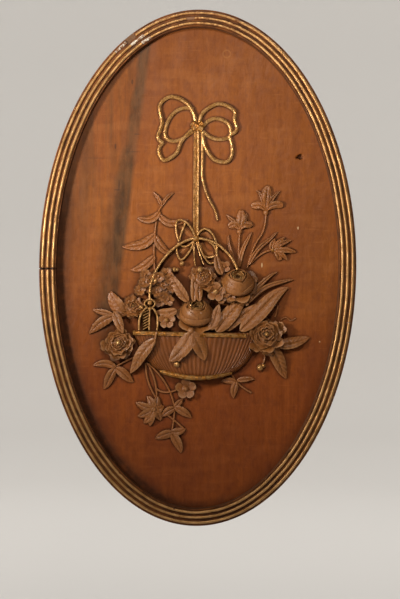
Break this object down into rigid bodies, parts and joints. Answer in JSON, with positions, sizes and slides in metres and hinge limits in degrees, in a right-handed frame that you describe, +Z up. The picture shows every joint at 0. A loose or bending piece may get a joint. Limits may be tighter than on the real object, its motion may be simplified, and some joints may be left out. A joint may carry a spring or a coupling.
{
  "type": "oval carved wood wall panel",
  "caption": "Oval wood panel carved with a ribbon-hung basket of flowers, set in a reeded gilt frame; hangs flat on a wall.",
  "frame": {"origin": "centre of the oval on the wall plane, which is the panel's flat back", "axes": "+X to the viewer's right, +Z up, +Y into the wall; the carving faces -Y"},
  "size_m": [0.7671, 0.071, 1.249],
  "materials": {
    "carved_wood": "old waxed hardwood, dusty, with gilded ribbon and basket rim",
    "gilt_moulding": "reeded wood, worn water gilding on the reeds, brown grooves"
  },
  "bodies": {
    "root": {"carved_panel": "carved_wood", "frame_upper": "gilt_moulding", "frame_lower": "gilt_moulding"}
  },
  "joints": []
}
